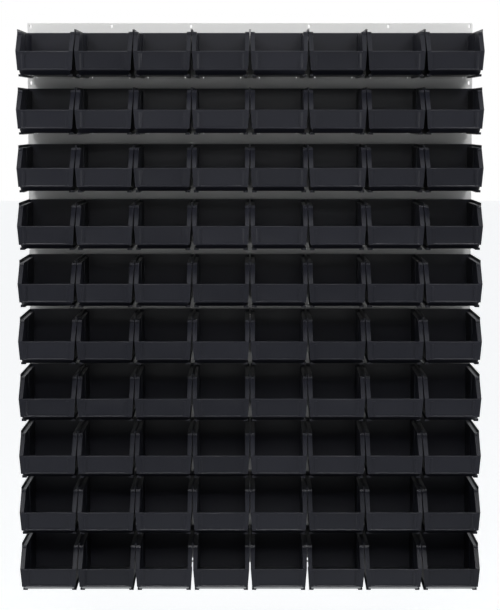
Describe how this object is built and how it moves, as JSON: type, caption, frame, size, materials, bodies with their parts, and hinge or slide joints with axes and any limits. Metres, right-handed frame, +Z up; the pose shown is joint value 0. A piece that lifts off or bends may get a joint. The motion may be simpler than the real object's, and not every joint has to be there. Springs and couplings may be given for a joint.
{
  "type": "louvered wall panel with hanging bins",
  "caption": "Louvered steel wall panel carrying a full grid of identical open-front plastic hanging bins for small parts.",
  "frame": {"origin": "middle of the panel's bottom edge, in the plane that touches the wall", "axes": "+Z up, +Y into the wall, +X to the right as the bins are faced"},
  "size_m": [1.2192, 0.2499, 1.5144],
  "materials": {
    "panel_steel": "satin powder coat",
    "bin_plastic": "fine matte polypropylene"
  },
  "bodies": {
    "louvered_panel": {"louvered_panel": "panel_steel"},
    "bin_row01_col1": {"bin_row01_col1": "bin_plastic"},
    "bin_row01_col2": {"bin_row01_col2": "bin_plastic"},
    "bin_row01_col3": {"bin_row01_col3": "bin_plastic"},
    "bin_row01_col4": {"bin_row01_col4": "bin_plastic"},
    "bin_row01_col5": {"bin_row01_col5": "bin_plastic"},
    "bin_row01_col6": {"bin_row01_col6": "bin_plastic"},
    "bin_row01_col7": {"bin_row01_col7": "bin_plastic"},
    "bin_row01_col8": {"bin_row01_col8": "bin_plastic"},
    "bin_row02_col1": {"bin_row02_col1": "bin_plastic"},
    "bin_row02_col2": {"bin_row02_col2": "bin_plastic"},
    "bin_row02_col3": {"bin_row02_col3": "bin_plastic"},
    "bin_row02_col4": {"bin_row02_col4": "bin_plastic"},
    "bin_row02_col5": {"bin_row02_col5": "bin_plastic"},
    "bin_row02_col6": {"bin_row02_col6": "bin_plastic"},
    "bin_row02_col7": {"bin_row02_col7": "bin_plastic"},
    "bin_row02_col8": {"bin_row02_col8": "bin_plastic"},
    "bin_row03_col1": {"bin_row03_col1": "bin_plastic"},
    "bin_row03_col2": {"bin_row03_col2": "bin_plastic"},
    "bin_row03_col3": {"bin_row03_col3": "bin_plastic"},
    "bin_row03_col4": {"bin_row03_col4": "bin_plastic"},
    "bin_row03_col5": {"bin_row03_col5": "bin_plastic"},
    "bin_row03_col6": {"bin_row03_col6": "bin_plastic"},
    "bin_row03_col7": {"bin_row03_col7": "bin_plastic"},
    "bin_row03_col8": {"bin_row03_col8": "bin_plastic"},
    "bin_row04_col1": {"bin_row04_col1": "bin_plastic"},
    "bin_row04_col2": {"bin_row04_col2": "bin_plastic"},
    "bin_row04_col3": {"bin_row04_col3": "bin_plastic"},
    "bin_row04_col4": {"bin_row04_col4": "bin_plastic"},
    "bin_row04_col5": {"bin_row04_col5": "bin_plastic"},
    "bin_row04_col6": {"bin_row04_col6": "bin_plastic"},
    "bin_row04_col7": {"bin_row04_col7": "bin_plastic"},
    "bin_row04_col8": {"bin_row04_col8": "bin_plastic"},
    "bin_row05_col1": {"bin_row05_col1": "bin_plastic"},
    "bin_row05_col2": {"bin_row05_col2": "bin_plastic"},
    "bin_row05_col3": {"bin_row05_col3": "bin_plastic"},
    "bin_row05_col4": {"bin_row05_col4": "bin_plastic"},
    "bin_row05_col5": {"bin_row05_col5": "bin_plastic"},
    "bin_row05_col6": {"bin_row05_col6": "bin_plastic"},
    "bin_row05_col7": {"bin_row05_col7": "bin_plastic"},
    "bin_row05_col8": {"bin_row05_col8": "bin_plastic"},
    "bin_row06_col1": {"bin_row06_col1": "bin_plastic"},
    "bin_row06_col2": {"bin_row06_col2": "bin_plastic"},
    "bin_row06_col3": {"bin_row06_col3": "bin_plastic"},
    "bin_row06_col4": {"bin_row06_col4": "bin_plastic"},
    "bin_row06_col5": {"bin_row06_col5": "bin_plastic"},
    "bin_row06_col6": {"bin_row06_col6": "bin_plastic"},
    "bin_row06_col7": {"bin_row06_col7": "bin_plastic"},
    "bin_row06_col8": {"bin_row06_col8": "bin_plastic"},
    "bins_row07": {"bins_row07": "bin_plastic"},
    "bins_row08": {"bins_row08": "bin_plastic"},
    "bins_row09": {"bins_row09": "bin_plastic"},
    "bins_row10": {"bins_row10": "bin_plastic"}
  },
  "joints": [
    {"name": "lift_bin_row01_col1", "type": "slide", "parent": "louvered_panel", "child": "bin_row01_col1", "axis": [0, -0.59, 0.8074], "range_m": [0, 0.03]},
    {"name": "lift_bin_row01_col2", "type": "slide", "parent": "louvered_panel", "child": "bin_row01_col2", "axis": [0, -0.59, 0.8074], "range_m": [0, 0.03]},
    {"name": "lift_bin_row01_col3", "type": "slide", "parent": "louvered_panel", "child": "bin_row01_col3", "axis": [0, -0.59, 0.8074], "range_m": [0, 0.03]},
    {"name": "lift_bin_row01_col4", "type": "slide", "parent": "louvered_panel", "child": "bin_row01_col4", "axis": [0, -0.59, 0.8074], "range_m": [0, 0.03]},
    {"name": "lift_bin_row01_col5", "type": "slide", "parent": "louvered_panel", "child": "bin_row01_col5", "axis": [0, -0.59, 0.8074], "range_m": [0, 0.03]},
    {"name": "lift_bin_row01_col6", "type": "slide", "parent": "louvered_panel", "child": "bin_row01_col6", "axis": [0, -0.59, 0.8074], "range_m": [0, 0.03]},
    {"name": "lift_bin_row01_col7", "type": "slide", "parent": "louvered_panel", "child": "bin_row01_col7", "axis": [0, -0.59, 0.8074], "range_m": [0, 0.03]},
    {"name": "lift_bin_row01_col8", "type": "slide", "parent": "louvered_panel", "child": "bin_row01_col8", "axis": [0, -0.59, 0.8074], "range_m": [0, 0.03]},
    {"name": "lift_bin_row02_col1", "type": "slide", "parent": "louvered_panel", "child": "bin_row02_col1", "axis": [0, -0.59, 0.8074], "range_m": [0, 0.03]},
    {"name": "lift_bin_row02_col2", "type": "slide", "parent": "louvered_panel", "child": "bin_row02_col2", "axis": [0, -0.59, 0.8074], "range_m": [0, 0.03]},
    {"name": "lift_bin_row02_col3", "type": "slide", "parent": "louvered_panel", "child": "bin_row02_col3", "axis": [0, -0.59, 0.8074], "range_m": [0, 0.03]},
    {"name": "lift_bin_row02_col4", "type": "slide", "parent": "louvered_panel", "child": "bin_row02_col4", "axis": [0, -0.59, 0.8074], "range_m": [0, 0.03]},
    {"name": "lift_bin_row02_col5", "type": "slide", "parent": "louvered_panel", "child": "bin_row02_col5", "axis": [0, -0.59, 0.8074], "range_m": [0, 0.03]},
    {"name": "lift_bin_row02_col6", "type": "slide", "parent": "louvered_panel", "child": "bin_row02_col6", "axis": [0, -0.59, 0.8074], "range_m": [0, 0.03]},
    {"name": "lift_bin_row02_col7", "type": "slide", "parent": "louvered_panel", "child": "bin_row02_col7", "axis": [0, -0.59, 0.8074], "range_m": [0, 0.03]},
    {"name": "lift_bin_row02_col8", "type": "slide", "parent": "louvered_panel", "child": "bin_row02_col8", "axis": [0, -0.59, 0.8074], "range_m": [0, 0.03]},
    {"name": "lift_bin_row03_col1", "type": "slide", "parent": "louvered_panel", "child": "bin_row03_col1", "axis": [0, -0.59, 0.8074], "range_m": [0, 0.03]},
    {"name": "lift_bin_row03_col2", "type": "slide", "parent": "louvered_panel", "child": "bin_row03_col2", "axis": [0, -0.59, 0.8074], "range_m": [0, 0.03]},
    {"name": "lift_bin_row03_col3", "type": "slide", "parent": "louvered_panel", "child": "bin_row03_col3", "axis": [0, -0.59, 0.8074], "range_m": [0, 0.03]},
    {"name": "lift_bin_row03_col4", "type": "slide", "parent": "louvered_panel", "child": "bin_row03_col4", "axis": [0, -0.59, 0.8074], "range_m": [0, 0.03]},
    {"name": "lift_bin_row03_col5", "type": "slide", "parent": "louvered_panel", "child": "bin_row03_col5", "axis": [0, -0.59, 0.8074], "range_m": [0, 0.03]},
    {"name": "lift_bin_row03_col6", "type": "slide", "parent": "louvered_panel", "child": "bin_row03_col6", "axis": [0, -0.59, 0.8074], "range_m": [0, 0.03]},
    {"name": "lift_bin_row03_col7", "type": "slide", "parent": "louvered_panel", "child": "bin_row03_col7", "axis": [0, -0.59, 0.8074], "range_m": [0, 0.03]},
    {"name": "lift_bin_row03_col8", "type": "slide", "parent": "louvered_panel", "child": "bin_row03_col8", "axis": [0, -0.59, 0.8074], "range_m": [0, 0.03]},
    {"name": "lift_bin_row04_col1", "type": "slide", "parent": "louvered_panel", "child": "bin_row04_col1", "axis": [0, -0.59, 0.8074], "range_m": [0, 0.03]},
    {"name": "lift_bin_row04_col2", "type": "slide", "parent": "louvered_panel", "child": "bin_row04_col2", "axis": [0, -0.59, 0.8074], "range_m": [0, 0.03]},
    {"name": "lift_bin_row04_col3", "type": "slide", "parent": "louvered_panel", "child": "bin_row04_col3", "axis": [0, -0.59, 0.8074], "range_m": [0, 0.03]},
    {"name": "lift_bin_row04_col4", "type": "slide", "parent": "louvered_panel", "child": "bin_row04_col4", "axis": [0, -0.59, 0.8074], "range_m": [0, 0.03]},
    {"name": "lift_bin_row04_col5", "type": "slide", "parent": "louvered_panel", "child": "bin_row04_col5", "axis": [0, -0.59, 0.8074], "range_m": [0, 0.03]},
    {"name": "lift_bin_row04_col6", "type": "slide", "parent": "louvered_panel", "child": "bin_row04_col6", "axis": [0, -0.59, 0.8074], "range_m": [0, 0.03]},
    {"name": "lift_bin_row04_col7", "type": "slide", "parent": "louvered_panel", "child": "bin_row04_col7", "axis": [0, -0.59, 0.8074], "range_m": [0, 0.03]},
    {"name": "lift_bin_row04_col8", "type": "slide", "parent": "louvered_panel", "child": "bin_row04_col8", "axis": [0, -0.59, 0.8074], "range_m": [0, 0.03]},
    {"name": "lift_bin_row05_col1", "type": "slide", "parent": "louvered_panel", "child": "bin_row05_col1", "axis": [0, -0.59, 0.8074], "range_m": [0, 0.03]},
    {"name": "lift_bin_row05_col2", "type": "slide", "parent": "louvered_panel", "child": "bin_row05_col2", "axis": [0, -0.59, 0.8074], "range_m": [0, 0.03]},
    {"name": "lift_bin_row05_col3", "type": "slide", "parent": "louvered_panel", "child": "bin_row05_col3", "axis": [0, -0.59, 0.8074], "range_m": [0, 0.03]},
    {"name": "lift_bin_row05_col4", "type": "slide", "parent": "louvered_panel", "child": "bin_row05_col4", "axis": [0, -0.59, 0.8074], "range_m": [0, 0.03]},
    {"name": "lift_bin_row05_col5", "type": "slide", "parent": "louvered_panel", "child": "bin_row05_col5", "axis": [0, -0.59, 0.8074], "range_m": [0, 0.03]},
    {"name": "lift_bin_row05_col6", "type": "slide", "parent": "louvered_panel", "child": "bin_row05_col6", "axis": [0, -0.59, 0.8074], "range_m": [0, 0.03]},
    {"name": "lift_bin_row05_col7", "type": "slide", "parent": "louvered_panel", "child": "bin_row05_col7", "axis": [0, -0.59, 0.8074], "range_m": [0, 0.03]},
    {"name": "lift_bin_row05_col8", "type": "slide", "parent": "louvered_panel", "child": "bin_row05_col8", "axis": [0, -0.59, 0.8074], "range_m": [0, 0.03]},
    {"name": "lift_bin_row06_col1", "type": "slide", "parent": "louvered_panel", "child": "bin_row06_col1", "axis": [0, -0.59, 0.8074], "range_m": [0, 0.03]},
    {"name": "lift_bin_row06_col2", "type": "slide", "parent": "louvered_panel", "child": "bin_row06_col2", "axis": [0, -0.59, 0.8074], "range_m": [0, 0.03]},
    {"name": "lift_bin_row06_col3", "type": "slide", "parent": "louvered_panel", "child": "bin_row06_col3", "axis": [0, -0.59, 0.8074], "range_m": [0, 0.03]},
    {"name": "lift_bin_row06_col4", "type": "slide", "parent": "louvered_panel", "child": "bin_row06_col4", "axis": [0, -0.59, 0.8074], "range_m": [0, 0.03]},
    {"name": "lift_bin_row06_col5", "type": "slide", "parent": "louvered_panel", "child": "bin_row06_col5", "axis": [0, -0.59, 0.8074], "range_m": [0, 0.03]},
    {"name": "lift_bin_row06_col6", "type": "slide", "parent": "louvered_panel", "child": "bin_row06_col6", "axis": [0, -0.59, 0.8074], "range_m": [0, 0.03]},
    {"name": "lift_bin_row06_col7", "type": "slide", "parent": "louvered_panel", "child": "bin_row06_col7", "axis": [0, -0.59, 0.8074], "range_m": [0, 0.03]},
    {"name": "lift_bin_row06_col8", "type": "slide", "parent": "louvered_panel", "child": "bin_row06_col8", "axis": [0, -0.59, 0.8074], "range_m": [0, 0.03]},
    {"name": "lift_bins_row07", "type": "slide", "parent": "louvered_panel", "child": "bins_row07", "axis": [0, -0.59, 0.8074], "range_m": [0, 0.03]},
    {"name": "lift_bins_row08", "type": "slide", "parent": "louvered_panel", "child": "bins_row08", "axis": [0, -0.59, 0.8074], "range_m": [0, 0.03]},
    {"name": "lift_bins_row09", "type": "slide", "parent": "louvered_panel", "child": "bins_row09", "axis": [0, -0.59, 0.8074], "range_m": [0, 0.03]},
    {"name": "lift_bins_row10", "type": "slide", "parent": "louvered_panel", "child": "bins_row10", "axis": [0, -0.59, 0.8074], "range_m": [0, 0.03]}
  ]
}
